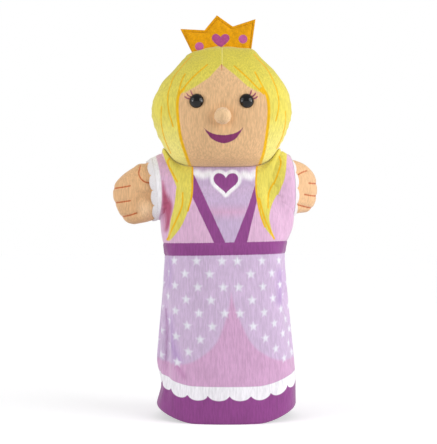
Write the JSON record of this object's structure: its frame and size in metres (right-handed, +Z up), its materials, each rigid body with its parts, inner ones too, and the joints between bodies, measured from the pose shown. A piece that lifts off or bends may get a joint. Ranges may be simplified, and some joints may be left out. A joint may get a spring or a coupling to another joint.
{
  "type": "glove puppet",
  "caption": "Plush princess glove puppet with a stuffed head, felt crown, mitten arms in lace-edged sleeves and a bell dress open at the hem for the hand.",
  "frame": {"origin": "centre of the hand opening, level with the hem that the puppet stands on", "axes": "+Z up from the hem to the crown, +Y to the back of the puppet, +X to the viewer's right"},
  "size_m": [0.1768, 0.0982, 0.3439],
  "materials": {
    "dress_velour": "short-pile printed velour",
    "hem_velour": "short-pile velour",
    "lining_cloth": "plain woven lining",
    "skin_velour": "short-pile velour",
    "hair_velour": "short-pile printed velour",
    "polyester_fill": "loose polyester fibre",
    "eye_plastic": "glossy",
    "washer_plastic": "matte",
    "crown_felt": "brushed felt",
    "lace": "printed and sewn lace edge"
  },
  "bodies": {
    "torso": {"dress_front": "dress_velour", "dress_back": "dress_velour", "hem_facing": "hem_velour"},
    "neck": {"neck_yoke": "dress_velour"},
    "head": {"finger_tube": "lining_cloth", "face_panel": "skin_velour", "hair_back_panel": "hair_velour", "head_stuffing": "polyester_fill", "left_eye": "eye_plastic", "right_eye": "eye_plastic", "left_eye_washer": "washer_plastic", "right_eye_washer": "washer_plastic", "nose_cover": "skin_velour", "nose_stuffing": "polyester_fill", "crown_front": "crown_felt", "crown_back": "crown_felt", "crown_wadding": "polyester_fill"},
    "left_shoulder": {"left_sleeve": "dress_velour", "left_cuff": "lace"},
    "left_arm": {"left_hand_front": "skin_velour", "left_hand_back": "skin_velour"},
    "right_shoulder": {"right_sleeve": "dress_velour", "right_cuff": "lace"},
    "right_arm": {"right_hand_front": "skin_velour", "right_hand_back": "skin_velour"}
  },
  "joints": [
    {"name": "neck_nod", "type": "hinge", "parent": "torso", "child": "neck", "pos_m": [0, 0, 0.212], "axis": [1, 0, 0], "range_deg": [-20, 20], "deforming": ["neck_yoke"]},
    {"name": "head_turn", "type": "hinge", "parent": "neck", "child": "head", "pos_m": [0, 0, 0.212], "axis": [0, 0, 1], "range_deg": [-35, 35]},
    {"name": "left_arm_swing", "type": "hinge", "parent": "torso", "child": "left_shoulder", "pos_m": [-0.0475, 0, 0.194], "axis": [0, 0, 1], "range_deg": [-53, 37], "deforming": ["left_sleeve"]},
    {"name": "left_arm_raise", "type": "hinge", "parent": "left_shoulder", "child": "left_arm", "pos_m": [-0.0475, 0, 0.194], "axis": [-0.1392, 0.9903, 0], "range_deg": [-8, 20], "deforming": ["left_cuff"]},
    {"name": "right_arm_swing", "type": "hinge", "parent": "torso", "child": "right_shoulder", "pos_m": [0.0475, 0, 0.194], "axis": [0, 0, -1], "range_deg": [-6, 82], "deforming": ["right_sleeve"]},
    {"name": "right_arm_raise", "type": "hinge", "parent": "right_shoulder", "child": "right_arm", "pos_m": [0.0475, 0, 0.194], "axis": [0.6691, -0.7431, 0], "range_deg": [-20, 10], "deforming": ["right_cuff"]}
  ]
}
